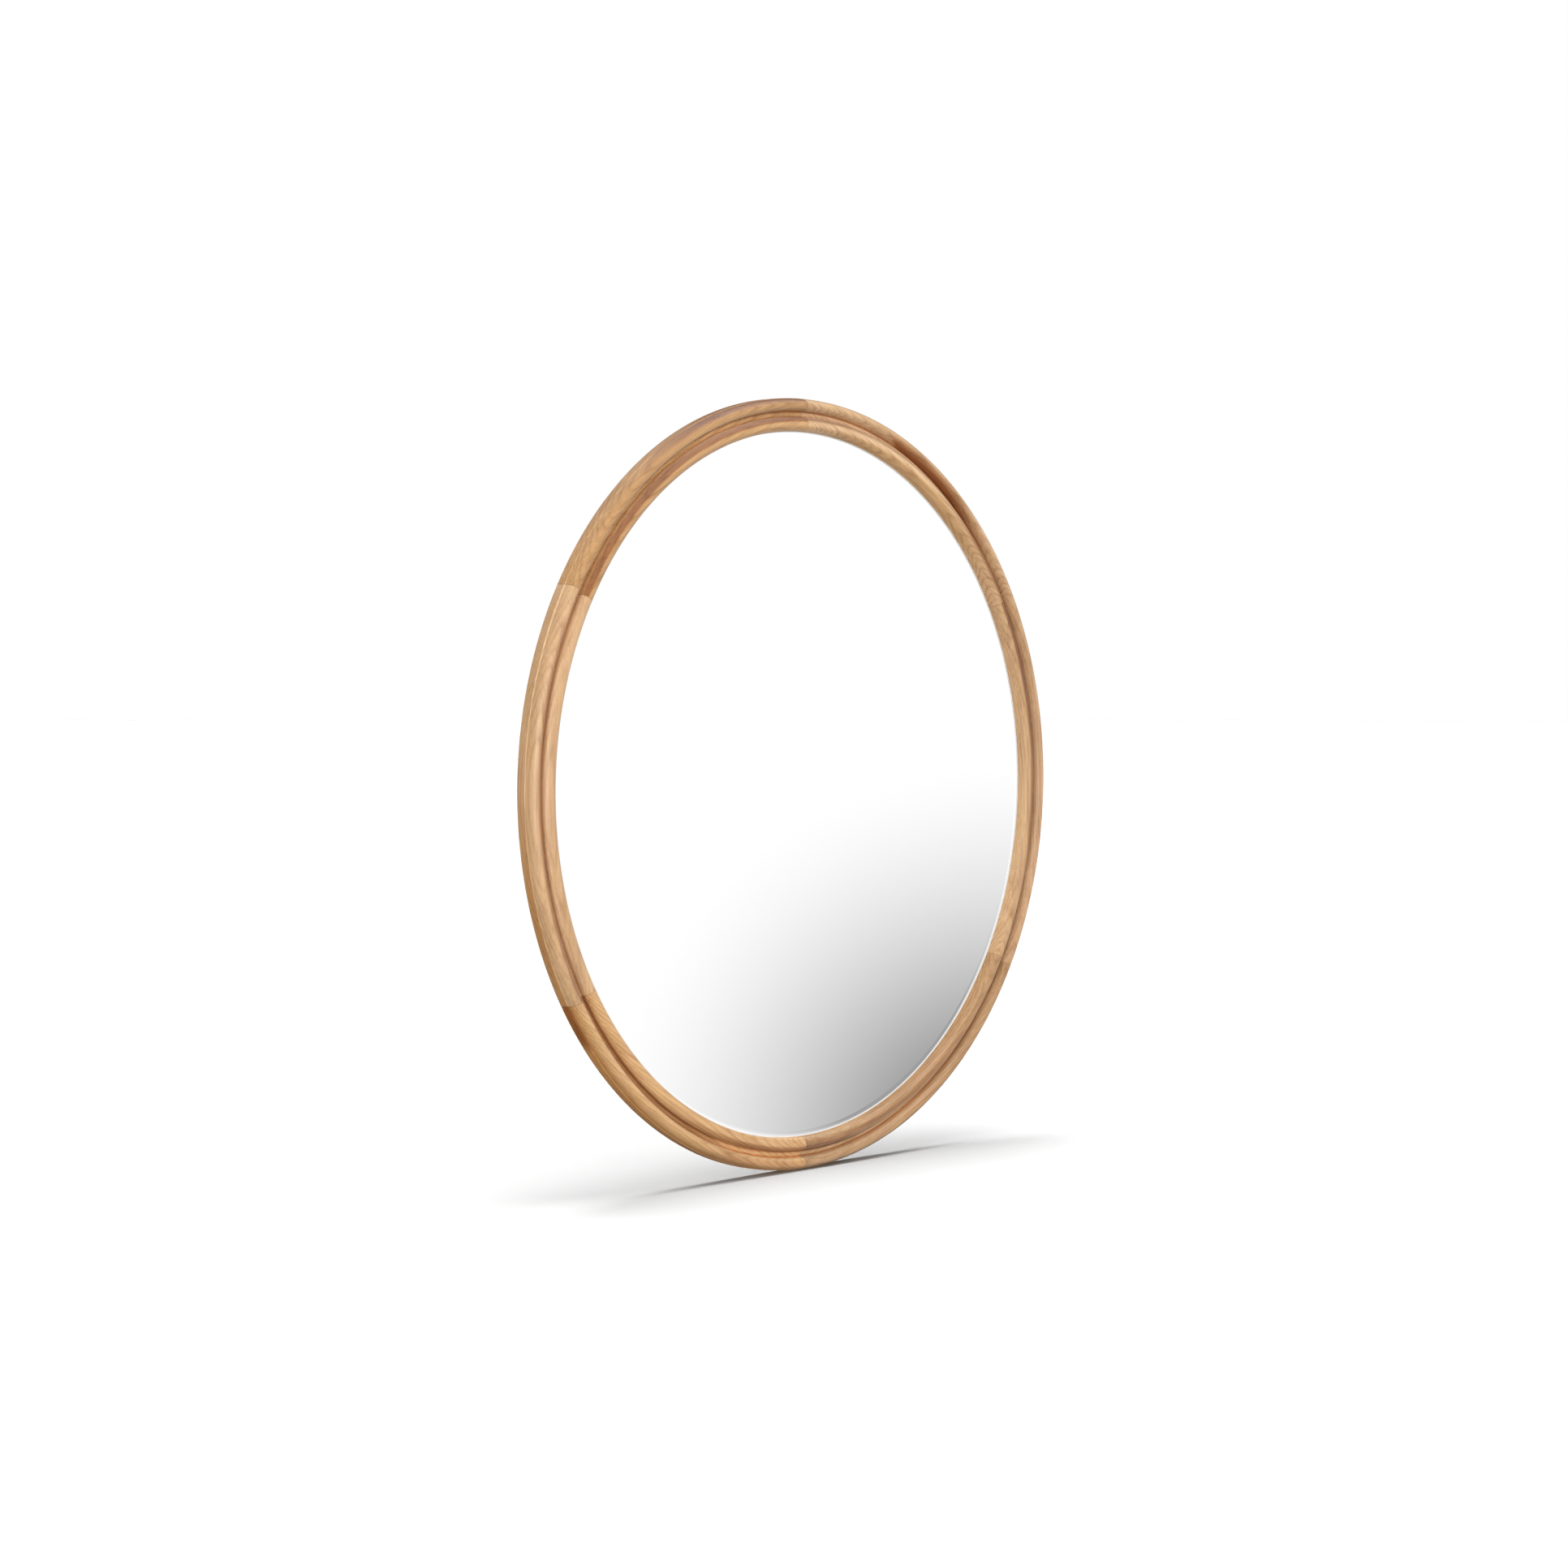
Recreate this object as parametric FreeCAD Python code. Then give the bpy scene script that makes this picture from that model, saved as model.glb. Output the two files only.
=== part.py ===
import FreeCAD, Part
import math
import os

# Round wall mirror with a moulded oak frame of six glued segments, millimetres.
# +Z is up, -Y is the front (the glass looks towards -Y), +X is right as seen from the front.
# The origin is the point on the wall plane straight behind the centre of the glass.
# "h" is the height above the frame's flat back, counted towards the front.

V = FreeCAD.Vector

# ---- driving dimensions ----
FRAME_R = 400.0            # outside radius of the frame
WALL_GAP = 6.0             # the frame's back stands this far off the wall, on the bumpers
BACK_Y = -WALL_GAP         # the frame's flat back
JOINTS = [-32.0, 31.5, 91.0, 150.0, 211.0, 268.5]   # butt joints between segments, degrees
SEGMENTS = ["frame_segment_right", "frame_segment_top_right", "frame_segment_top_left",
            "frame_segment_left", "frame_segment_bottom_left", "frame_segment_bottom_right"]
JOINT_NAMES = ["lower_right", "upper_right", "top", "upper_left", "lower_left", "bottom"]

WALL_H = 10.9              # plain outside wall, up to the arris
ARRIS = 0.6                # small flat taken off the arris
BEAD1_R, BEAD1_A, BEAD1_B = 392.7, 6.7, 11.4   # outer bead: centre radius, half width, height
CREASE_H = 11.3            # foot of the outer bead, inside
RIDGE_R, RIDGE_H = 383.4, 13.05                # small ridge between the beads
CREASE2_H = 12.3
BEAD2_R, BEAD2_RAD, BEAD2_H = 373.3, 7.3, 14.9  # inner bead: centre radius, radius, centre height
RABBET_R = 374.0           # rear rabbet that takes the glass and the back
RABBET_H = 7.8             # rabbet shoulder
LIP_R = BEAD2_R - BEAD2_RAD

TAPE_T, TAPE_R = 0.5, 365.2      # bedding tape: thickness and inside radius
PANE_R = 372.6             # glass and backing board
GLASS_T = 4.0
BOARD_T = 3.0

TENON_W, TENON_T, TENON_L = 19.0, 5.0, 30.0   # loose tenon across each joint
TENON_R, TENON_H = 387.5, 6.0
TENON_FIT = 0.05           # room all round the tenon
TENON_END = 0.5            # glue room past each end

BUTTON_ANGLES = [-0.25, 61.25, 120.5, 180.5, 239.75, 298.25]
BUTTON_NAMES = ["right", "top_right", "top_left", "left", "bottom_left", "bottom_right"]
BUTTON_R = 388.0           # pivot screws sit here
BUTTON_T = 1.8
BUTTON_LIFT = 0.1          # the button floats this far off the frame's back
BUTTON_TONGUE, BUTTON_TAIL = 24.0, 7.5
BUTTON_W0, BUTTON_W1 = 13.0, 9.0
BUTTON_HOLE = 1.66
SCREW_SHANK = 1.60
SCREW_HEAD_R, SCREW_HEAD_T = 3.6, 1.9
SCREW_LEN = 12.0

HANG_ANGLES = {"right": 20.0, "left": 160.0}
HANG_R = 383.0
STRAP_W, STRAP_T, STRAP_L = 12.0, 1.2, 40.0
EYE_UP = 3.0               # ring axis above the frame's back
EYE_IN, EYE_OUT = 1.25, 2.5
WIRE_R = 1.2
RING_HALF = 7.8            # ring leg centres either side of the strap
RING_LEG = 5.0
HANG_SCREWS = (21.0, 34.0) # along the strap, from the ring axis
STRAP_SCREW_R = 1.5
STRAP_HOLE_R = 1.75

BUMPER_ANGLES = {"upper_right": 45.0, "upper_left": 135.0, "lower_left": 225.0, "lower_right": 315.0}
BUMPER_R, BUMPER_RAD = 388.0, 6.0
ROUND = 1.0                # easing of the frame's back outside edge


def rh(r, h, z=0.0):
    return V(r, BACK_Y - h, z)


def er(t):
    a = math.radians(t)
    return V(math.cos(a), 0, math.sin(a))


def et(t):
    a = math.radians(t)
    return V(-math.sin(a), 0, math.cos(a))


def line(a, b):
    return Part.LineSegment(a, b).toShape()


def frame_profile():
    e = []
    p0 = rh(RABBET_R, 0)
    p1 = rh(FRAME_R - ROUND, 0)
    p2 = rh(FRAME_R, ROUND)
    p3 = rh(FRAME_R, WALL_H - ARRIS)
    start = BEAD1_R + BEAD1_A
    p4 = rh(start, WALL_H)
    e += [line(p0, p1)]
    mid = rh(FRAME_R - ROUND + ROUND * math.sin(math.pi / 4), ROUND - ROUND * math.cos(math.pi / 4))
    e += [Part.Arc(p1, mid, p2).toShape(), line(p2, p3), line(p3, p4)]
    # outer bead, an upright half ellipse
    c = rh(BEAD1_R, WALL_H)
    ell = Part.Ellipse(rh(BEAD1_R, WALL_H + BEAD1_B), rh(BEAD1_R + BEAD1_A, WALL_H), c)
    t_end = -math.acos((CREASE_H - WALL_H) / BEAD1_B)
    arc = Part.ArcOfEllipse(ell, t_end, math.pi / 2)
    e += [arc.toShape()]
    p5 = arc.StartPoint
    # small ridge
    r2 = BEAD2_R + BEAD2_RAD
    p6 = rh(r2, CREASE2_H)
    e += [Part.Arc(p5, rh(RIDGE_R, RIDGE_H), p6).toShape()]
    # inner bead
    p7 = rh(r2, BEAD2_H)
    p8 = rh(LIP_R, BEAD2_H)
    e += [line(p6, p7), Part.Arc(p7, rh(BEAD2_R, BEAD2_H + BEAD2_RAD), p8).toShape()]
    p9 = rh(LIP_R, RABBET_H + 0.4)
    p10 = rh(LIP_R + 0.4, RABBET_H)
    p11 = rh(RABBET_R, RABBET_H)
    e += [line(p8, p9), line(p9, p10), line(p10, p11), line(p11, p0)]
    w = Part.Wire(Part.__sortEdges__(e))
    return Part.Face(w)


def frame_sector(a0, a1):
    f = frame_profile()
    f.rotate(V(0, 0, 0), V(0, -1, 0), a0)
    return f.revolve(V(0, 0, 0), V(0, -1, 0), a1 - a0)


def local_box(angle, r0, r1, y0, y1, s0, s1):
    # box in the frame of one angle: r along the radius, y as is, s along the tangent
    b = Part.makeBox(r1 - r0, y1 - y0, s1 - s0, V(r0, y0, s0))
    b.rotate(V(0, 0, 0), V(0, -1, 0), angle)
    return b


def tenon_shape(angle, grow, end):
    # flat loose tenon with half-round edges, lying along the tangent
    w, t = TENON_W + 2 * grow, TENON_T + 2 * grow
    ln = TENON_L + 2 * end
    y = BACK_Y - TENON_H
    rr = t / 2
    a = V(TENON_R - w / 2 + rr, y, -ln / 2)
    b = V(TENON_R + w / 2 - rr, y, -ln / 2)
    e = [line(a + V(0, rr, 0), b + V(0, rr, 0)),
         Part.Arc(b + V(0, rr, 0), b + V(rr, 0, 0), b + V(0, -rr, 0)).toShape(),
         line(b + V(0, -rr, 0), a + V(0, -rr, 0)),
         Part.Arc(a + V(0, -rr, 0), a + V(-rr, 0, 0), a + V(0, rr, 0)).toShape()]
    s = Part.Face(Part.Wire(e)).extrude(V(0, 0, ln))
    s.rotate(V(0, 0, 0), V(0, -1, 0), angle)
    return s


def round_bar(p, d, r, ln):
    return Part.makeCylinder(r, ln, p, d)


def wood_screw(p, head_r, head_t, shank_r, length):
    # pan head screw: p is where the head meets the metal, the head stands up along +Y
    pts_head = Part.Arc(V(head_r, 0.35, 0), V(head_r * 0.80, head_t * 0.80, 0), V(0, head_t, 0))
    tip = 2.6
    e = [line(V(0, -length, 0), V(shank_r, -length + tip, 0)),
         line(V(shank_r, -length + tip, 0), V(shank_r, 0, 0)),
         line(V(shank_r, 0, 0), V(head_r, 0, 0)),
         line(V(head_r, 0, 0), V(head_r, 0.35, 0)),
         pts_head.toShape(),
         line(V(0, head_t, 0), V(0, -length, 0))]
    s = Part.Face(Part.Wire(Part.__sortEdges__(e))).revolve(V(0, 0, 0), V(0, 1, 0), 360)
    # cross recess
    arm, wid, deep = head_r * 1.15, head_r * 0.24, head_t * 0.55
    c1 = Part.makeBox(arm, deep + 1, wid, V(-arm / 2, head_t - deep, -wid / 2))
    c2 = Part.makeBox(wid, deep + 1, arm, V(-wid / 2, head_t - deep, -arm / 2))
    c1 = c1.fuse(c2)
    c1.rotate(V(0, 0, 0), V(0, 1, 0), 20)
    s = s.cut(c1)
    s.translate(p)
    return s


def turn_button(angle):
    # flat plate, pivot at the local origin, tongue towards the centre of the mirror
    y0 = BACK_Y + BUTTON_LIFT
    r0, r1 = BUTTON_W0 / 2, BUTTON_W1 / 2
    reach = BUTTON_TONGUE - r1
    tail = BUTTON_TAIL
    x = BUTTON_R
    e = [Part.Arc(V(x, y0, r0), V(x + tail, y0, 0), V(x, y0, -r0)).toShape(),
         line(V(x, y0, -r0), V(x - reach, y0, -r1)),
         Part.Arc(V(x - reach, y0, -r1), V(x - reach - r1, y0, 0), V(x - reach, y0, r1)).toShape(),
         line(V(x - reach, y0, r1), V(x, y0, r0))]
    s = Part.Face(Part.Wire(e)).extrude(V(0, BUTTON_T, 0))
    top = [ed for ed in s.Edges if abs(ed.BoundBox.YMin - (y0 + BUTTON_T)) < 1e-6 and abs(ed.BoundBox.YMax - (y0 + BUTTON_T)) < 1e-6]
    s = s.makeFillet(0.5, top)
    s = s.cut(Part.makeCylinder(BUTTON_HOLE, BUTTON_T + 2, V(x, y0 - 1, 0), V(0, 1, 0)))
    s.rotate(V(0, 0, 0), V(0, -1, 0), angle)
    return s


def hanger_frame(side):
    # ring axis point, direction down along the strap, direction across it
    t = HANG_ANGLES[side]
    p = er(t) * HANG_R
    down = et(t) * (-1.0 if side == "right" else 1.0)
    across = er(t)
    return t, p, down, across


def strap_local():
    # strap along +X from the ring axis at x = 0, width along Z, height along Y (0 = frame's back)
    w = STRAP_W / 2
    end_x = STRAP_L - w
    s = Part.makeCylinder(EYE_OUT, STRAP_W, V(0, EYE_UP, -w), V(0, 0, 1))
    leg = Part.makeBox(end_x + 0.6, STRAP_T, STRAP_W, V(-0.6, 0, -w))
    end = Part.makeCylinder(w, STRAP_T, V(end_x, 0, 0), V(0, 1, 0))
    s = s.fuse([leg, end]).removeSplitter()
    s = s.cut(Part.makeCylinder(EYE_IN, STRAP_W + 2, V(0, EYE_UP, -w - 1), V(0, 0, 1)))
    for d in HANG_SCREWS:
        s = s.cut(Part.makeCylinder(STRAP_HOLE_R, 6, V(d, -2, 0), V(0, 1, 0)))
    return s


def bend(centre, start, direction, axis, angle):
    # round wire section at start, square to direction, swept about axis through centre
    ring = Part.Face(Part.Wire(Part.Circle(start, direction, WIRE_R).toShape()))
    return ring.revolve(centre, axis, angle)


def ring_local():
    # D-ring hanging down along +X: straight bar in the eye, two legs, a half-round bow
    y, h, leg = EYE_UP, RING_HALF, RING_LEG
    c = 1.8                  # bend radius at the two corners
    pieces = [Part.makeCylinder(WIRE_R, 2 * (h - c), V(0, y, -h + c), V(0, 0, 1)),
              Part.makeCylinder(WIRE_R, leg - c, V(c, y, h), V(1, 0, 0)),
              Part.makeCylinder(WIRE_R, leg - c, V(c, y, -h), V(1, 0, 0)),
              bend(V(leg, y, 0), V(leg, y, -h), V(1, 0, 0), V(0, -1, 0), 180),
              bend(V(c, y, h - c), V(0, y, h - c), V(0, 0, 1), V(0, 1, 0), 90),
              bend(V(c, y, -h + c), V(0, y, -h + c), V(0, 0, 1), V(0, -1, 0), 90)]
    return pieces[0].fuse(pieces[1:]).removeSplitter()


def place_hanger(s, side):
    t, p, down, across = hanger_frame(side)
    # local X -> down, local Y -> +Y, local Z -> X x Y
    zz = down.cross(V(0, 1, 0))
    m = FreeCAD.Matrix(down.x, 0, zz.x, p.x,
                       down.y, 1, zz.y, BACK_Y,
                       down.z, 0, zz.z, p.z,
                       0, 0, 0, 1)
    return s.transformed(m)


def build():
    nodes = {}
    # screws first, so their pilot holes can be cut in the frame
    button_screws, hanger_screws, pilots = [], [], []
    for a in BUTTON_ANGLES:
        p = er(a) * BUTTON_R + V(0, BACK_Y + BUTTON_LIFT + BUTTON_T + 0.1, 0)
        button_screws.append(wood_screw(p, SCREW_HEAD_R, SCREW_HEAD_T, SCREW_SHANK, SCREW_LEN + 2.0))
        pilots.append(round_bar(er(a) * BUTTON_R + V(0, BACK_Y + 1, 0), V(0, -1, 0), SCREW_SHANK + 0.03, SCREW_LEN + 1.5))
    for side in ("left", "right"):
        t, p, down, across = hanger_frame(side)
        for d in HANG_SCREWS:
            q = p + down * d
            hanger_screws.append(wood_screw(q + V(0, BACK_Y + STRAP_T, 0), 3.1, 1.6, STRAP_SCREW_R, 10.0))
            pilots.append(round_bar(q + V(0, BACK_Y + 1, 0), V(0, -1, 0), STRAP_SCREW_R + 0.03, 10.4))

    for i, name in enumerate(SEGMENTS):
        a0 = JOINTS[i]
        a1 = JOINTS[(i + 1) % 6]
        if a1 < a0:
            a1 += 360.0
        s = frame_sector(a0, a1)
        for a in (a0, a1):
            s = s.cut(tenon_shape(a, TENON_FIT, TENON_END))
        bb = s.BoundBox
        for c in pilots:
            if bb.intersect(c.BoundBox):
                s = s.cut(c)
        nodes[name] = s
    for a, n in zip(JOINTS, JOINT_NAMES):
        nodes["joint_tenon_" + n] = tenon_shape(a, 0.0, 0.0)

    def disc(r, h0, h1):
        return Part.makeCylinder(r, h1 - h0, V(0, BACK_Y - h0, 0), V(0, -1, 0))

    g1 = RABBET_H - TAPE_T
    tape = disc(PANE_R, g1, RABBET_H).cut(disc(TAPE_R, g1 - 1, RABBET_H + 1))
    nodes["bedding_tape"] = tape
    nodes["mirror_glass"] = disc(PANE_R, g1 - GLASS_T, g1)
    nodes["backing_board"] = disc(PANE_R, g1 - GLASS_T - BOARD_T, g1 - GLASS_T)

    for a, n in zip(BUTTON_ANGLES, BUTTON_NAMES):
        nodes["turn_button_" + n] = turn_button(a)
    nodes["turn_button_screws"] = Part.makeCompound(button_screws)

    for side in ("left", "right"):
        nodes["hanger_strap_" + side] = place_hanger(strap_local(), side)
        nodes["hanger_ring_" + side] = place_hanger(ring_local(), side)
    nodes["hanger_screws"] = Part.makeCompound(hanger_screws)

    for n, a in BUMPER_ANGLES.items():
        p = er(a) * BUMPER_R + V(0, BACK_Y, 0)
        b = Part.makeCylinder(BUMPER_RAD, WALL_GAP, p, V(0, 1, 0))
        edge = [ed for ed in b.Edges if ed.BoundBox.YMin > -0.01 and ed.BoundBox.YMax < 0.01]
        b = b.makeFillet(1.6, edge)
        nodes["wall_bumper_" + n] = b
    return nodes


os.makedirs("parts", exist_ok=True)
nodes = build()
for old in os.listdir("parts"):
    if old.endswith(".step") and old[:-5] not in nodes:
        os.remove(os.path.join("parts", old))
for name, shape in nodes.items():
    solids = shape.Solids
    ok = all(s.isValid() and s.isClosed() for s in solids)
    if not ok or not solids:
        print("CHECK", name, len(solids), shape.isValid())
    shape.exportStep(os.path.join("parts", name + ".step"))
    print("%-30s solids %d volume %.1f" % (name, len(solids), shape.Volume))
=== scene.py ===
import math
import random

import bmesh
import bpy
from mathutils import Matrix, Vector


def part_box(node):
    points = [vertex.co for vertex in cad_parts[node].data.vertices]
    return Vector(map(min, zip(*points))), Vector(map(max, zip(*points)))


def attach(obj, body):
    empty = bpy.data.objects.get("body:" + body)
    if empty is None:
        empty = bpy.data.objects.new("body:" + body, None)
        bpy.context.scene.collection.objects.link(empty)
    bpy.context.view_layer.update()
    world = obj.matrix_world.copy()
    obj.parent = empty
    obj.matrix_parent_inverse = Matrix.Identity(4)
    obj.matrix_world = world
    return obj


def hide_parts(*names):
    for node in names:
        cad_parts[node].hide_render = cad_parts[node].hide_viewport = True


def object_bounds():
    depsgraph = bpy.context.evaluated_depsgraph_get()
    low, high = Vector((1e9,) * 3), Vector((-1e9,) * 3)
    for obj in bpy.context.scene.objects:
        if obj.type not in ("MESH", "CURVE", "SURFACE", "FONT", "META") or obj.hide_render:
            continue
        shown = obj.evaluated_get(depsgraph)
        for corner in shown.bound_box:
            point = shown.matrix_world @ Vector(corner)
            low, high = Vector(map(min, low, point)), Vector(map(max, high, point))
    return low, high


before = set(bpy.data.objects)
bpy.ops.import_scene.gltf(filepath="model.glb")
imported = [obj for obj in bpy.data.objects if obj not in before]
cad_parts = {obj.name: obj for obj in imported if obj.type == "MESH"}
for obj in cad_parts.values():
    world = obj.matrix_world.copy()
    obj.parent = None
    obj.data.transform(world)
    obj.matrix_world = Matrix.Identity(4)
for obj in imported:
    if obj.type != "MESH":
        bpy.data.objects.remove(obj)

random.seed(7)
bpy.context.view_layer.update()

# ------------------------------------------------------------------ frame section, metres
MM = 0.001
BACK_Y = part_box("frame_segment_top_left")[1].y          # the frame's flat back
FRAME_R = 400.0
WALL_H, ARRIS = 10.9, 0.6
BEAD1_R, BEAD1_A, BEAD1_B = 392.7, 6.7, 11.4
CREASE_H = 11.3
RIDGE_R, RIDGE_H, CREASE2_H = 383.4, 13.05, 12.3
BEAD2_R, BEAD2_RAD, BEAD2_H = 373.3, 7.3, 14.9
RABBET_R, RABBET_H = 374.0, 7.8
LIP_R = BEAD2_R - BEAD2_RAD
JOINTS = [-32.0, 31.5, 91.0, 150.0, 211.0, 268.5]
SEGMENTS = ["frame_segment_right", "frame_segment_top_right", "frame_segment_top_left",
            "frame_segment_left", "frame_segment_bottom_left", "frame_segment_bottom_right"]


def arc3(a, b, c, n):
    """n+1 points of the circle through a, b, c, from a to c."""
    ax, ay = a; bx, by = b; cx, cy = c
    d = 2 * (ax * (by - cy) + bx * (cy - ay) + cx * (ay - by))
    ux = ((ax * ax + ay * ay) * (by - cy) + (bx * bx + by * by) * (cy - ay) + (cx * cx + cy * cy) * (ay - by)) / d
    uy = ((ax * ax + ay * ay) * (cx - bx) + (bx * bx + by * by) * (ax - cx) + (cx * cx + cy * cy) * (bx - ax)) / d
    r = math.hypot(ax - ux, ay - uy)
    t0, t1, tm = (math.atan2(p[1] - uy, p[0] - ux) for p in (a, c, b))
    def between(t, lo, hi):
        return (t - lo) % (2 * math.pi) < (hi - lo) % (2 * math.pi)
    if between(tm, t0, t1):
        span = (t1 - t0) % (2 * math.pi)
    else:
        span = -((t0 - t1) % (2 * math.pi))
    return [(ux + r * math.cos(t0 + span * i / n), uy + r * math.sin(t0 + span * i / n)) for i in range(n + 1)]


def section():
    """Closed section of the frame as (radius, height) in mm."""
    p = []
    def add(pts, sharp_start=False):
        for q in pts:
            if not p or math.hypot(q[0] - p[-1][0], q[1] - p[-1][1]) > 1e-4:
                p.append((q[0], q[1]))
    e = 1.0
    add([(RABBET_R + 0.25, 0.0), (376.0, 0.0), (380.0, 0.0), (386.0, 0.0), (392.0, 0.0), (397.0, 0.0)])
    add([(FRAME_R - e + e * math.sin(t), e - e * math.cos(t)) for t in [i * math.pi / 2 / 6 for i in range(7)]])
    add([(FRAME_R, 2.5), (FRAME_R, 4.5), (FRAME_R, 6.5), (FRAME_R, 8.5), (FRAME_R, WALL_H - ARRIS - 0.45)])
    # eased arris and the little step into the outer bead
    add([(FRAME_R - 0.02, WALL_H - ARRIS - 0.2), (FRAME_R - 0.12, WALL_H - ARRIS + 0.05), (FRAME_R - 0.32, WALL_H - ARRIS + 0.3),
         (FRAME_R - 0.5, WALL_H - 0.06), (FRAME_R - 0.62, WALL_H + 0.12)])
    t_end = math.pi / 2 + math.acos((CREASE_H - WALL_H) / BEAD1_B)
    n = 34
    for i in range(1, n + 1):
        t = 0.045 + (t_end - 0.045) * i / n
        add([(BEAD1_R + BEAD1_A * math.cos(t), WALL_H + BEAD1_B * math.sin(t))])
    c1 = p[-1]
    r2 = BEAD2_R + BEAD2_RAD
    add(arc3(c1, (RIDGE_R, RIDGE_H), (r2, CREASE2_H), 12)[1:])
    add([(r2, 13.0), (r2, 14.0), (r2, BEAD2_H)])
    m = 30
    for i in range(1, m + 1):
        t = math.pi * i / m
        add([(BEAD2_R + BEAD2_RAD * math.cos(t), BEAD2_H + BEAD2_RAD * math.sin(t))])
    add([(LIP_R, 13.2), (LIP_R, 11.5), (LIP_R, 10.0), (LIP_R, 8.6), (LIP_R + 0.03, 8.3), (LIP_R + 0.12, 8.05), (LIP_R + 0.3, 7.88), (LIP_R + 0.5, RABBET_H)])
    add([(369.0, RABBET_H), (RABBET_R - 0.2, RABBET_H), (RABBET_R, RABBET_H - 0.2), (RABBET_R, 5.0), (RABBET_R, 2.5), (RABBET_R, 0.25)])
    return p


SECTION = section()


def ring_point(r, h, deg):
    a = math.radians(deg)
    return Vector((r * MM * math.cos(a), BACK_Y - h * MM, r * MM * math.sin(a)))


def new_object(name, bm, smooth_angle=34.0):
    me = bpy.data.meshes.new(name)
    bm.normal_update()
    bm.to_mesh(me)
    bm.free()
    ob = bpy.data.objects.new(name, me)
    bpy.context.scene.collection.objects.link(ob)
    me.shade_smooth()
    if smooth_angle is not None:
        me.set_sharp_from_angle(angle=math.radians(smooth_angle))
    return ob


def wobble(deg, k):
    """Hand-sanded unevenness of the section, in mm: a few slow waves round the ring, a few hundredths high."""
    a = math.radians(deg)
    return 0.05 * math.sin(7 * a + k) + 0.035 * math.sin(17 * a + 2.3 * k) + 0.02 * math.sin(41 * a + 5.1 * k)


def frame_segment(index):
    a0 = JOINTS[index]
    a1 = JOINTS[(index + 1) % 6]
    if a1 < a0:
        a1 += 360
    gap = 0.012                                   # each end stands a hair short, the glue line
    steps = 110
    bm = bmesh.new()
    rows = []
    angles = [a0 + gap, a0 + gap + 0.035]
    inner0, inner1 = a0 + gap + 0.1, a1 - gap - 0.1
    angles += [inner0 + (inner1 - inner0) * i / steps for i in range(steps + 1)]
    angles += [a1 - gap - 0.035, a1 - gap]
    last = len(angles) - 1
    for j, ang in enumerate(angles):
        ease = 0.10 if j in (0, last) else (0.02 if j in (1, last - 1) else 0.0)
        row = []
        for k, (r, h) in enumerate(SECTION):
            rr, hh = r, h
            if h > 1.2 and r > LIP_R + 0.5 or h > 9:
                w = wobble(ang, 0.21 * k)
                # unevenness only bites inwards, so the piece stays inside its nominal size
                rr -= (abs(w) * 0.5 + 0.0) * (1 if r > 386 else 0.4)
                hh -= abs(w) * 0.6 if h > 12 else 0.0
            if ease and h > 0.3:
                cr, ch = 386.0, 10.0
                d = math.hypot(rr - cr, hh - ch)
                rr -= ease * (rr - cr) / d
                hh -= ease * (hh - ch) / d
            row.append(bm.verts.new(ring_point(rr, hh, ang)))
        rows.append(row)
    n = len(SECTION)
    for j in range(len(rows) - 1):
        for k in range(n):
            a, b = rows[j][k], rows[j][(k + 1) % n]
            c, d = rows[j + 1][(k + 1) % n], rows[j + 1][k]
            bm.faces.new((a, b, c, d))
    bm.faces.new(list(reversed(rows[0])))
    bm.faces.new(rows[-1])
    bmesh.ops.recalc_face_normals(bm, faces=bm.faces)
    return new_object("oak_" + SEGMENTS[index], bm, 30.0)


def turned_ring(name, outline, steps=360, smooth=30.0):
    """A closed outline of (radius, height) in mm, turned through the full circle."""
    bm = bmesh.new()
    rows = []
    for j in range(steps):
        rows.append([bm.verts.new(ring_point(r, h, 360.0 * j / steps)) for r, h in outline])
    n = len(outline)
    for j in range(steps):
        q = rows[(j + 1) % steps]
        for k in range(n):
            bm.faces.new((rows[j][k], rows[j][(k + 1) % n], q[(k + 1) % n], q[k]))
    bmesh.ops.recalc_face_normals(bm, faces=bm.faces)
    return new_object(name, bm, smooth)


def turned_disc(name, outline, steps=360, smooth=30.0, rings=()):
    """A disc: outline runs from the centre of one face to the centre of the other."""
    bm = bmesh.new()
    first = bm.verts.new(ring_point(0, outline[0][1], 0))
    lastv = bm.verts.new(ring_point(0, outline[-1][1], 0))
    mid = outline[1:-1]
    rows = [[bm.verts.new(ring_point(r, h, 360.0 * j / steps)) for r, h in mid] for j in range(steps)]
    for j in range(steps):
        a, b = rows[j], rows[(j + 1) % steps]
        bm.faces.new((first, a[0], b[0]))
        for k in range(len(mid) - 1):
            bm.faces.new((a[k], a[k + 1], b[k + 1], b[k]))
        bm.faces.new((a[-1], lastv, b[-1]))
    bmesh.ops.recalc_face_normals(bm, faces=bm.faces)
    return new_object(name, bm, smooth)


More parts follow.
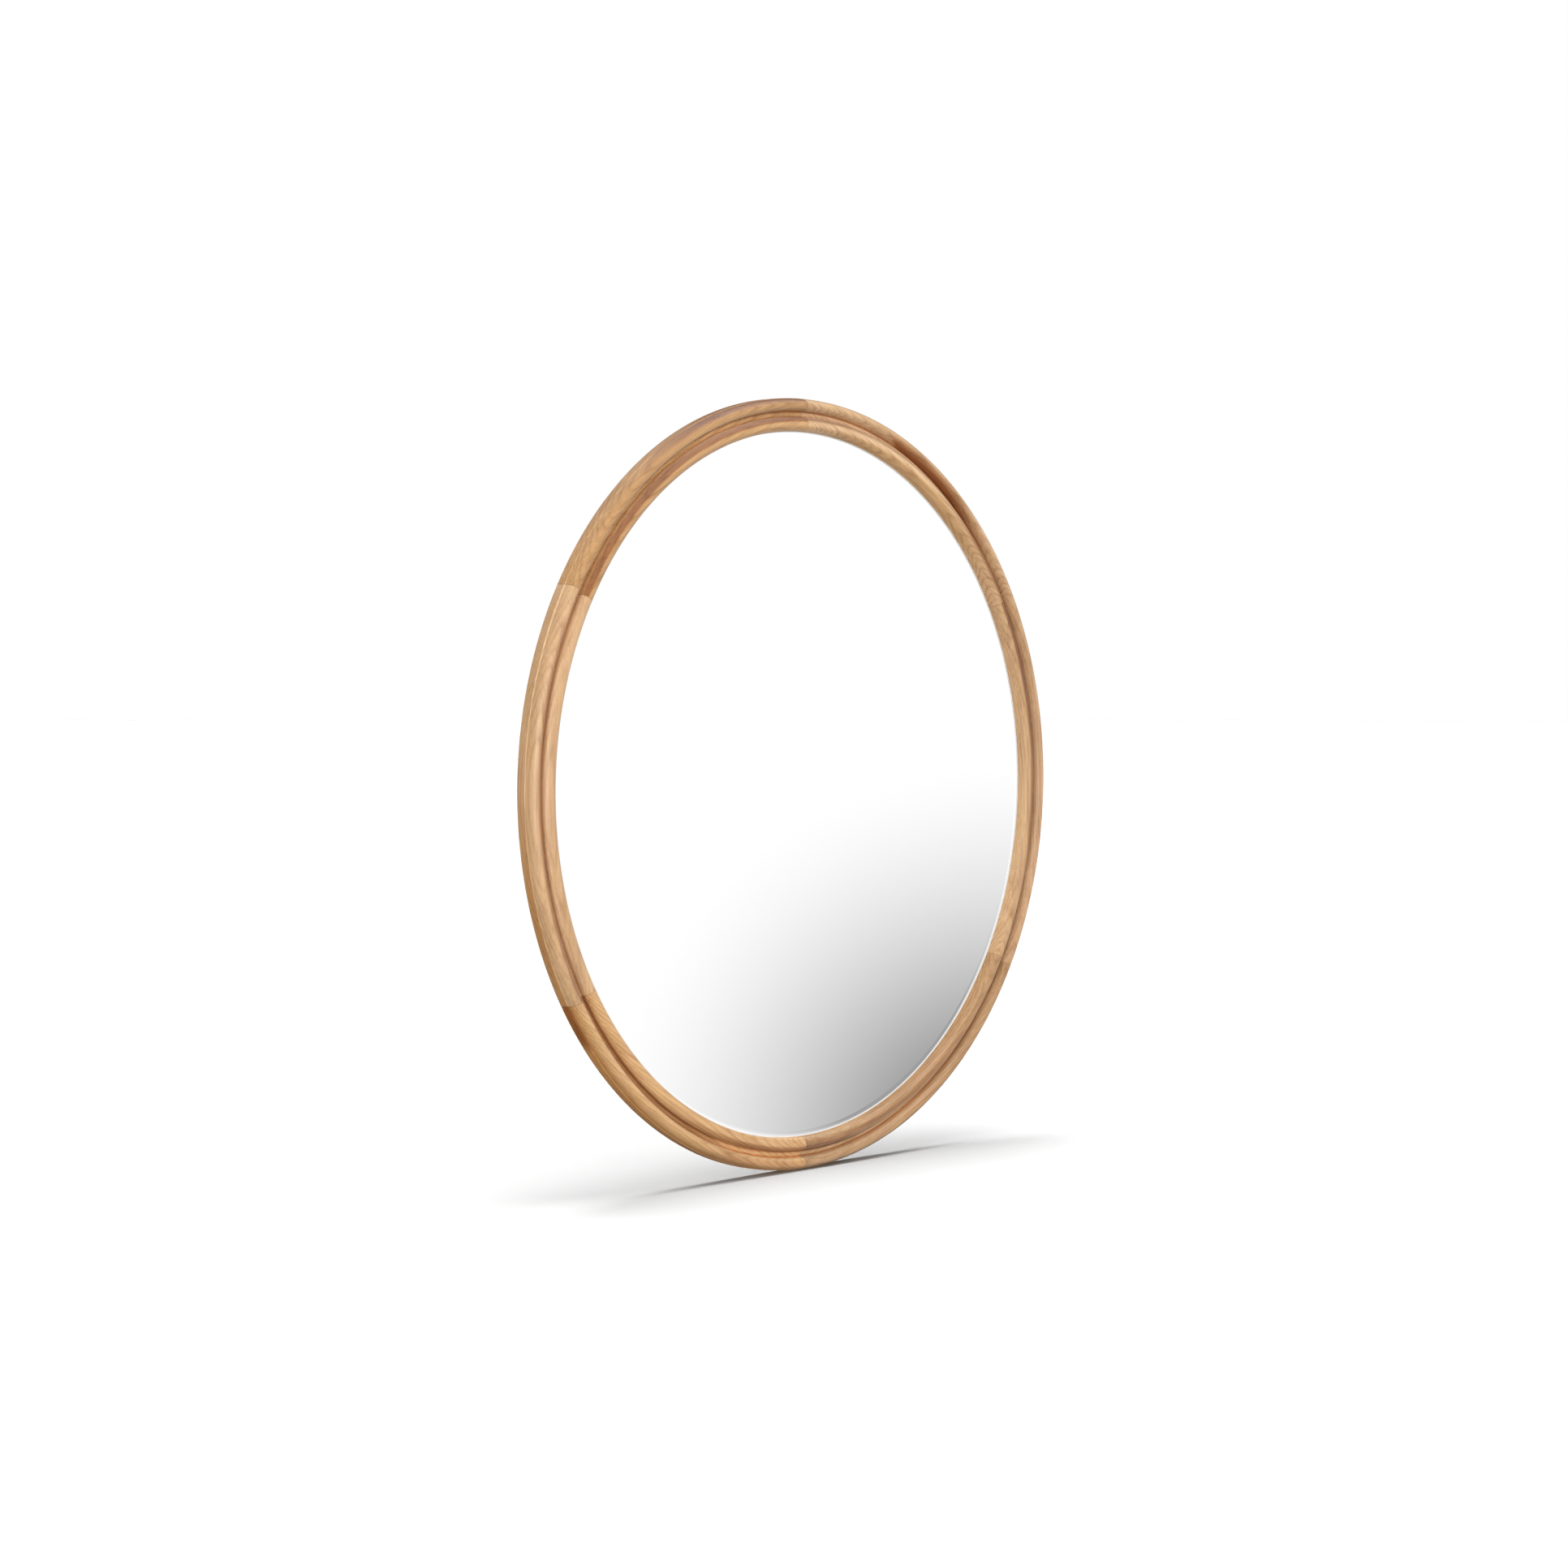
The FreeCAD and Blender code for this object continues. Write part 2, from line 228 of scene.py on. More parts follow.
# ------------------------------------------------------------------ node helpers
class Nodes:
    def __init__(self, name):
        self.mat = bpy.data.materials.new(name)
        self.mat.use_nodes = True
        self.nt = self.mat.node_tree
        self.nt.nodes.clear()
        self.out = self.nt.nodes.new("ShaderNodeOutputMaterial")
        self.bsdf = self.nt.nodes.new("ShaderNodeBsdfPrincipled")
        self.nt.links.new(self.bsdf.outputs["BSDF"], self.out.inputs["Surface"])
        self._obj = None

    def put(self, socket, value):
        if isinstance(value, bpy.types.NodeSocket):
            self.nt.links.new(value, socket)
        elif value is not None:
            socket.default_value = value

    def coord(self):
        if self._obj is None:
            self._obj = self.nt.nodes.new("ShaderNodeTexCoord").outputs["Object"]
        return self._obj

    def math(self, op, a, b=None, c=None, clamp=False):
        n = self.nt.nodes.new("ShaderNodeMath")
        n.operation = op
        n.use_clamp = clamp
        self.put(n.inputs[0], a)
        if b is not None:
            self.put(n.inputs[1], b)
        if c is not None:
            self.put(n.inputs[2], c)
        return n.outputs[0]

    def add(self, a, b): return self.math("ADD", a, b)
    def sub(self, a, b): return self.math("SUBTRACT", a, b)
    def mul(self, a, b): return self.math("MULTIPLY", a, b)

    def vec(self, op, a, b=None, scale=None):
        n = self.nt.nodes.new("ShaderNodeVectorMath")
        n.operation = op
        self.put(n.inputs[0], a)
        if b is not None:
            self.put(n.inputs[1], b)
        if scale is not None:
            self.put(n.inputs["Scale"], scale)
        return n.outputs["Value"] if op in ("DOT_PRODUCT", "LENGTH", "DISTANCE") else n.outputs["Vector"]

    def xyz(self, x, y, z):
        n = self.nt.nodes.new("ShaderNodeCombineXYZ")
        for s, v in zip(n.inputs, (x, y, z)):
            self.put(s, v)
        return n.outputs[0]

    def split(self, v):
        n = self.nt.nodes.new("ShaderNodeSeparateXYZ")
        self.put(n.inputs[0], v)
        return n.outputs

    def noise(self, v, scale=1.0, detail=2.0, rough=0.5, distortion=0.0, w=None, colour=False):
        n = self.nt.nodes.new("ShaderNodeTexNoise")
        if w is not None:
            n.noise_dimensions = "4D"
            self.put(n.inputs["W"], w)
        self.put(n.inputs["Vector"], v)
        self.put(n.inputs["Scale"], scale)
        self.put(n.inputs["Detail"], detail)
        self.put(n.inputs["Roughness"], rough)
        self.put(n.inputs["Distortion"], distortion)
        return n.outputs["Color" if colour else 0]

    def voronoi(self, v, scale=1.0, feature="F1", randomness=1.0):
        n = self.nt.nodes.new("ShaderNodeTexVoronoi")
        n.feature = feature
        self.put(n.inputs["Vector"], v)
        self.put(n.inputs["Scale"], scale)
        self.put(n.inputs["Randomness"], randomness)
        return n.outputs["Distance"]

    def remap(self, v, a, b, c=0.0, d=1.0, kind="LINEAR"):
        n = self.nt.nodes.new("ShaderNodeMapRange")
        n.interpolation_type = kind
        n.clamp = True
        for i, x in enumerate((v, a, b, c, d)):
            self.put(n.inputs[i], x)
        return n.outputs[0]

    def ramp(self, v, stops, kind="LINEAR"):
        n = self.nt.nodes.new("ShaderNodeValToRGB")
        n.color_ramp.interpolation = kind
        el = n.color_ramp.elements
        while len(el) < len(stops):
            el.new(0.5)
        for e, (pos, col) in zip(el, stops):
            e.position = pos
            if not isinstance(col, (tuple, list)):
                col = (col, col, col)
            e.color = (*col[:3], 1.0)
        self.put(n.inputs[0], v)
        return n.outputs["Color"]

    def mix(self, fac, a, b, blend="MIX"):
        n = self.nt.nodes.new("ShaderNodeMix")
        n.data_type = "RGBA"
        n.blend_type = blend
        n.clamp_factor = True
        self.put(n.inputs[0], fac)
        for s, v in ((n.inputs[6], a), (n.inputs[7], b)):
            if isinstance(v, (tuple, list)):
                v = (*v[:3], 1.0)
            self.put(s, v)
        return n.outputs[2]

    def bump(self, height, strength, distance, normal=None):
        n = self.nt.nodes.new("ShaderNodeBump")
        n.inputs["Strength"].default_value = strength
        n.inputs["Distance"].default_value = distance
        self.put(n.inputs["Height"], height)
        if normal is not None:
            self.put(n.inputs["Normal"], normal)
        return n.outputs[0]

    def set(self, **kw):
        for k, v in kw.items():
            k = k.replace("_", " ")
            if isinstance(v, (tuple, list)):
                v = (*v[:3], 1.0)
            self.put(self.bsdf.inputs[k], v)


def srgb(r, g, b, k=1.0):
    def f(c):
        c /= 255.0
        return k * (c / 12.92 if c <= 0.04045 else ((c + 0.055) / 1.055) ** 2.4)
    return (f(r), f(g), f(b))


def scaled(c, k):
    return tuple(min(1.0, x * k) for x in c)


# ------------------------------------------------------------------ materials
def oak(index, tone):
    """Clear lacquered oak, one straight-grained board per segment. The board lies along the segment's chord,
    so the growth rings run with the bead at mid length and cross it near the joints."""
    m = Nodes("oak_%d" % index)
    a0 = JOINTS[index]
    a1 = JOINTS[(index + 1) % 6]
    if a1 < a0:
        a1 += 360
    mid = math.radians((a0 + a1) / 2)
    c, s = math.cos(mid), math.sin(mid)
    p = m.vec("SCALE", m.coord(), scale=1000.0)
    length = m.vec("DOT_PRODUCT", p, (-s, 0.0, c))
    across = m.sub(m.vec("DOT_PRODUCT", p, (c, 0.0, s)), 380.0)
    px, py, pz = m.split(p)
    height = m.sub(m.mul(py, -1.0), -BACK_Y * 1000.0)
    radius = m.math("SQRT", m.add(m.mul(px, px), m.mul(pz, pz)))
    theta = m.math("MULTIPLY", m.math("ARCTAN2", pz, px), 180.0 / math.pi)
    board = m.xyz(m.add(length, tone["shift"]), across, height)

    # place on the section, q: wall below 0, outer bead 0..1, ridge 1..1.4, inner bead 1.4..2.4, lip beyond
    phi1 = m.math("MULTIPLY", m.math("ARCTAN2", m.sub(height, WALL_H), m.sub(radius, BEAD1_R)), 1 / math.pi)
    phi2 = m.math("MULTIPLY", m.math("ARCTAN2", m.sub(height, BEAD2_H), m.sub(radius, BEAD2_R)), 1 / math.pi)
    q_wall = m.remap(height, 0.0, WALL_H, -0.5, 0.0)
    q_lip = m.remap(height, BEAD2_H, RABBET_H, 2.4, 2.8)
    q_ridge = m.remap(radius, 386.0, BEAD2_R + BEAD2_RAD + 0.05, 1.0, 1.4)

    def pick(cond, a, b):
        return m.add(m.mul(cond, a), m.mul(m.sub(1.0, cond), b))
    q = pick(m.math("GREATER_THAN", radius, 386.0), pick(m.math("LESS_THAN", height, WALL_H - 0.05), q_wall, phi1), q_ridge)
    inner = pick(m.math("LESS_THAN", height, BEAD2_H), pick(m.math("GREATER_THAN", radius, 376.0), 1.4, q_lip), m.add(phi2, 1.4))
    q = pick(m.math("LESS_THAN", radius, BEAD2_R + BEAD2_RAD + 0.02), inner, q)

    # growth rings: cylinders about a pith line below and beside the board, bent by slow noise
    slow = m.noise(m.vec("MULTIPLY", board, (1 / 210.0, 1 / 46.0, 1 / 46.0)), 1.0, 2.0, 0.5)
    mid_n = m.noise(m.vec("MULTIPLY", board, (1 / 70.0, 1 / 13.0, 1 / 13.0)), 1.0, 2.0, 0.5)
    w = m.add(m.add(across, m.mul(length, tone["lean_w"])), tone["pith_w"])
    h = m.add(m.add(height, m.mul(length, tone["lean_h"])), tone["pith_h"])
    rho = m.math("SQRT", m.add(m.mul(w, w), m.mul(h, h)))
    rho = m.add(rho, m.mul(m.sub(slow, 0.5), tone["bend"]))
    rho = m.add(rho, m.mul(m.sub(mid_n, 0.5), tone["bend2"]))
    years = m.noise(m.xyz(m.mul(rho, 1 / 17.0), 3.7 * index, 0.0), 1.0, 1.0, 0.5)
    phase = m.add(m.mul(rho, 1.0 / tone["ring"]), m.mul(years, 2.2))
    f = m.math("FRACT", phase)
    ring = m.ramp(f, [(0.0, 0.55), (0.07, 0.12), (0.30, 0.0), (0.62, 0.34), (0.86, 1.0), (0.95, 0.92), (1.0, 0.55)], "EASE")
    ring = m.math("MULTIPLY", ring, m.remap(m.noise(m.vec("MULTIPLY", board, (1 / 90.0, 1 / 9.0, 1 / 9.0)), 1.0, 2.0, 0.5), 0.3, 0.7, 0.35, 1.0))

    # fibres, pores, ray flecks
    fibre = m.noise(m.vec("MULTIPLY", board, (1 / 34.0, 1 / 1.5, 1 / 1.5)), 1.0, 4.0, 0.6)
    streak = m.noise(m.vec("MULTIPLY", board, (1 / 120.0, 1 / 5.0, 1 / 5.0)), 1.0, 3.0, 0.55)
    broad = m.noise(m.vec("MULTIPLY", board, (1 / 160.0, 1 / 26.0, 1 / 26.0)), 1.0, 2.0, 0.5)
    pore_n = m.noise(m.vec("MULTIPLY", board, (1 / 5.5, 1 / 0.42, 1 / 0.42)), 1.0, 1.0, 0.5)
    early = m.remap(f, 0.05, 0.45, 1.0, 0.25)
    pore = m.mul(m.remap(pore_n, 0.60, 0.72), early)
    fleck_n = m.noise(m.vec("MULTIPLY", board, (1 / 16.0, 1 / 1.1, 1 / 7.0)), 1.0, 1.0, 0.5)
    fleck = m.remap(fleck_n, 0.62, 0.74)

    dark = m.mul(ring, 0.56 * tone["contrast"])
    dark = m.add(dark, m.mul(m.sub(fibre, 0.5), 1.15 * tone["contrast"]))
    dark = m.add(dark, m.mul(m.sub(streak, 0.5), 0.9 * tone["contrast"]))
    dark = m.add(dark, m.mul(m.sub(broad, 0.5), 0.9 * tone["contrast"]))
    dark = m.add(dark, 0.18)
    col = m.mix(m.math("MULTIPLY", dark, 1.0, clamp=True), tone["light"], tone["dark"])
    # pink and yellow drift along the board
    hue = m.noise(m.vec("MULTIPLY", board, (1 / 75.0, 1 / 7.0, 1 / 7.0)), 1.0, 2.0, 0.5)
    col = m.mix(m.remap(hue, 0.42, 0.66, 0.0, 0.55), col, m.mix(1.0, col, (1.01, 0.97, 1.00), "MULTIPLY"))
    col = m.mix(m.remap(hue, 0.56, 0.34, 0.0, 0.5), col, m.mix(1.0, col, (1.03, 1.0, 0.86), "MULTIPLY"))
    col = m.mix(m.mul(pore, 0.44), col, scaled(tone["dark"], 0.45))
    col = m.mix(m.mul(fleck, 0.18), col, scaled(tone["light"], 1.18))

    # soft-edged zones frayed along the grain: partly the board's own figure, partly painted highlight (the pale tint)
    # and painted shade (the brown, red-brown and orange tints)
    t_all = m.add(theta, m.mul(m.math("LESS_THAN", theta, 0.0 if index == 5 else -40.0), 360.0))
    fray = m.sub(m.noise(m.vec("MULTIPLY", board, (1 / 26.0, 1 / 1.6, 1 / 1.6)), 1.0, 3.0, 0.6), 0.5)
    face_side = m.remap(height, 0.8, 2.4)
    for z in tone.get("figure_highlight_and_shade_zones", ()):
        t0, t1, q0, q1, ts0, ts1, qs0, qs1, tint, amount = z[:10]
        slant = z[10] if len(z) > 10 else 0.0
        tt = m.add(m.add(t_all, m.mul(m.sub(q, q0), slant)), m.mul(fray, min(6.0, 0.6 * min(ts0, ts1) + 0.8)))
        qq = m.add(q, m.mul(fray, 0.05))
        k = m.mul(m.remap(tt, t0 - ts0 / 2, t0 + ts0 / 2, 0.0, 1.0, "SMOOTHSTEP"), m.remap(tt, t1 - ts1 / 2, t1 + ts1 / 2, 1.0, 0.0, "SMOOTHSTEP"))
        k = m.mul(k, m.mul(m.remap(qq, q0 - qs0 / 2, q0 + qs0 / 2, 0.0, 1.0, "SMOOTHSTEP"), m.remap(qq, q1 - qs1 / 2, q1 + qs1 / 2, 1.0, 0.0, "SMOOTHSTEP")))
        col = m.mix(m.mul(m.mul(k, face_side), amount), col, m.mix(1.0, col, tint, "MULTIPLY"))

    # painted shade: the two creases are tinted darker and more orange
    crease1 = m.remap(m.math("ABSOLUTE", m.sub(radius, 386.1)), 0.2, 1.9, 1.0, 0.0, "SMOOTHSTEP")
    crease2 = m.remap(m.math("ABSOLUTE", m.sub(radius, BEAD2_R + BEAD2_RAD + 0.1)), 0.2, 1.8, 1.0, 0.0, "SMOOTHSTEP")
    low = m.remap(height, 12.2, 15.5, 1.0, 0.0, "SMOOTHSTEP")
    front = m.remap(height, 9.5, 10.5, 0.0, 1.0)
    painted_crease_shade = m.mul(m.mul(m.math("MAXIMUM", crease1, m.mul(crease2, 0.7)), low), front)
    col = m.mix(m.mul(painted_crease_shade, 0.85), col, m.mix(1.0, col, (1.10, 0.75, 0.48), "MULTIPLY"))
    # painted highlight: a pale line along the arris
    painted_arris_highlight = m.mul(m.remap(m.math("ABSOLUTE", m.sub(height, WALL_H - 0.25)), 0.1, 0.8, 1.0, 0.0, "SMOOTHSTEP"), m.remap(radius, 398.6, 399.3))
    col = m.mix(m.mul(painted_arris_highlight, 0.35), col, m.mix(1.0, col, (1.22, 1.2, 1.22), "MULTIPLY"))
    # the glue line at each end
    for a in (a0, a1):
        ca, sa = math.cos(math.radians(a)), math.sin(math.radians(a))
        d = m.math("ABSOLUTE", m.vec("DOT_PRODUCT", p, (-sa, 0.0, ca)))
        near = m.mul(m.remap(d, 0.10, 0.45, 1.0, 0.0, "SMOOTHSTEP"), m.math("GREATER_THAN", m.vec("DOT_PRODUCT", p, (ca, 0.0, sa)), 0.0))
        col = m.mix(m.mul(near, 0.42), col, m.mix(1.0, col, (0.55, 0.44, 0.36), "MULTIPLY"))

    rough = m.add(m.mul(m.sub(fibre, 0.5), 0.16), m.mul(m.sub(broad, 0.5), 0.10))
    groove = m.mul(m.remap(height, 13.0, 19.5, 1.0, 0.0, "SMOOTHSTEP"), m.math("LESS_THAN", radius, 396.0))
    rough = m.add(m.add(rough, m.mul(pore, 0.18)), m.add(0.30, m.mul(groove, 0.42)))
    grain_h = m.add(m.mul(fibre, 0.5), m.add(m.mul(ring, -0.35), m.mul(pore, -1.1)))
    b = m.bump(grain_h, 0.22, 0.00022)
    b = m.bump(m.noise(m.vec("MULTIPLY", board, (1 / 28.0, 1 / 6.0, 1 / 6.0)), 1.0, 1.0, 0.5), 0.10, 0.0006, b)
    m.set(Base_Color=col, Roughness=m.math("MULTIPLY", rough, 1.0, clamp=True), Normal=b)
    m.bsdf.inputs["Specular IOR Level"].default_value = 0.42
    return m.mat


def silvered_glass():
    m = Nodes("silvered_glass")
    p = m.coord()
    haze = m.noise(m.vec("SCALE", p, scale=3.2), 1.0, 3.0, 0.55)
    smear = m.noise(m.vec("MULTIPLY", p, (6.0, 1.0, 2.2)), 1.0, 4.0, 0.6)
    px, py, pz = m.split(m.vec("SCALE", p, scale=1000.0))
    radius = m.math("SQRT", m.add(m.mul(px, px), m.mul(pz, pz)))
    front = m.remap(py, -10.2, -13.0, 0.0, 1.0)
    silver = m.mix(m.remap(haze, 0.35, 0.7, 0.0, 0.5), (0.992, 0.994, 0.993), (0.985, 0.988, 0.987))
    edge = m.remap(radius, 372.0, 372.5, 0.0, 1.0)
    glass_edge = m.mix(m.remap(m.noise(m.vec("SCALE", p, scale=60.0), 1.0, 3.0, 0.5), 0.3, 0.7), (0.16, 0.34, 0.28), (0.22, 0.42, 0.35))
    paint = m.mix(m.remap(smear, 0.3, 0.7), (0.16, 0.17, 0.18), (0.20, 0.21, 0.22))
    col = m.mix(front, paint, silver)
    col = m.mix(edge, col, glass_edge)
    shine = m.mul(front, m.sub(1.0, edge))
    rough = m.mix(shine, (0.38, 0.38, 0.38), (0.004, 0.004, 0.004))
    rough = m.add(m.split(rough)[0], m.mul(shine, m.remap(smear, 0.55, 0.8, 0.0, 0.006)))
    m.set(Base_Color=col, Metallic=shine, Roughness=rough)
    return m.mat


def foam_tape():
    m = Nodes("foam_tape")
    p = m.vec("SCALE", m.coord(), scale=1000.0)
    cells = m.voronoi(p, 2.2)
    soft = m.noise(p, 0.06, 2.0, 0.5)
    col = m.mix(m.remap(soft, 0.3, 0.7), (0.74, 0.73, 0.71), (0.80, 0.79, 0.77))
    m.set(Base_Color=col, Roughness=m.remap(cells, 0.0, 0.8, 0.62, 0.8), Normal=m.bump(cells, 0.25, 0.0001))
    m.bsdf.inputs["Specular IOR Level"].default_value = 0.3
    return m.mat


def hardboard():
    m = Nodes("hardboard")
    p = m.vec("SCALE", m.coord(), scale=1000.0)
    fibres = m.noise(p, 0.9, 5.0, 0.7, 1.2)
    cloud = m.noise(p, 0.011, 3.0, 0.55)
    px, py, pz = m.split(p)
    # wire-screen print of the pressed face
    sx = m.math("SINE", m.mul(m.add(px, m.mul(fibres, 0.5)), 2 * math.pi / 1.9))
    sz = m.math("SINE", m.mul(m.add(pz, m.mul(fibres, 0.5)), 2 * math.pi / 1.9))
    screen = m.mul(sx, sz)
    col = m.mix(m.remap(fibres, 0.3, 0.72), (0.150, 0.082, 0.043), (0.265, 0.155, 0.085))
    col = m.mix(m.remap(cloud, 0.35, 0.7, 0.0, 0.5), col, m.mix(1.0, col, (0.74, 0.72, 0.70), "MULTIPLY"))
    spots = m.remap(m.voronoi(p, 0.16), 0.0, 0.16, 1.0, 0.0)
    col = m.mix(m.mul(spots, 0.35), col, (0.36, 0.24, 0.15))
    scuff = m.remap(m.noise(m.vec("MULTIPLY", p, (0.006, 0.2, 0.09)), 1.0, 3.0, 0.6), 0.62, 0.75)
    col = m.mix(m.mul(scuff, 0.25), col, (0.34, 0.23, 0.15))
    height = m.add(m.mul(screen, 0.35), m.mul(fibres, 0.8))
    m.set(Base_Color=col, Roughness=m.remap(fibres, 0.3, 0.7, 0.55, 0.75), Normal=m.bump(height, 0.35, 0.00025))
    m.bsdf.inputs["Specular IOR Level"].default_value = 0.35
    return m.mat


def zinc(name="zinc_plate", tint=(0.62, 0.63, 0.62)):
    m = Nodes(name)
    p = m.vec("SCALE", m.coord(), scale=1000.0)
    grain = m.noise(m.vec("MULTIPLY", p, (0.5, 3.0, 4.5)), 1.0, 3.0, 0.6)
    cloud = m.noise(p, 0.35, 3.0, 0.6)
    col = m.mix(m.remap(cloud, 0.3, 0.7), scaled(tint, 0.86), scaled(tint, 1.12))
    col = m.mix(m.remap(m.noise(p, 0.12, 2.0, 0.5), 0.5, 0.7, 0.0, 0.35), col, (0.60, 0.57, 0.47))
    scratch = m.remap(m.noise(m.vec("MULTIPLY", p, (0.35, 9.0, 9.0)), 1.0, 2.0, 0.5), 0.62, 0.70)
    rough = m.add(m.remap(grain, 0.3, 0.7, 0.24, 0.42), m.mul(scratch, 0.18))
    m.set(Base_Color=col, Roughness=rough, Normal=m.bump(m.add(grain, m.mul(scratch, -0.6)), 0.12, 0.00005))
    m.bsdf.inputs["Metallic"].default_value = 1.0
    return m.mat


def rubber():
    m = Nodes("bumper_rubber")
    p = m.vec("SCALE", m.coord(), scale=1000.0)
    fine = m.noise(p, 2.6, 4.0, 0.65)
    dust = m.remap(m.noise(p, 0.3, 3.0, 0.6), 0.5, 0.72, 0.0, 0.35)
    col = m.mix(dust, (0.020, 0.020, 0.021), (0.075, 0.072, 0.068))
    m.set(Base_Color=col, Roughness=m.remap(fine, 0.3, 0.7, 0.55, 0.78), Normal=m.bump(fine, 0.3, 0.00008))
    m.bsdf.inputs["Specular IOR Level"].default_value = 0.4
    return m.mat


def beech():
    m = Nodes("beech")
    p = m.vec("SCALE", m.coord(), scale=1000.0)
    grain = m.noise(m.vec("MULTIPLY", p, (0.8, 0.8, 0.1)), 1.0, 4.0, 0.6)
    fleck = m.remap(m.noise(m.vec("MULTIPLY", p, (1.6, 3.0, 0.5)), 1.0, 1.0, 0.5), 0.6, 0.7)
    col = m.mix(m.remap(grain, 0.3, 0.7), (0.60, 0.40, 0.24), (0.72, 0.52, 0.34))
    col = m.mix(m.mul(fleck, 0.5), col, (0.45, 0.27, 0.15))
    m.set(Base_Color=col, Roughness=m.remap(grain, 0.3, 0.7, 0.6, 0.75), Normal=m.bump(grain, 0.2, 0.0001))
    return m.mat
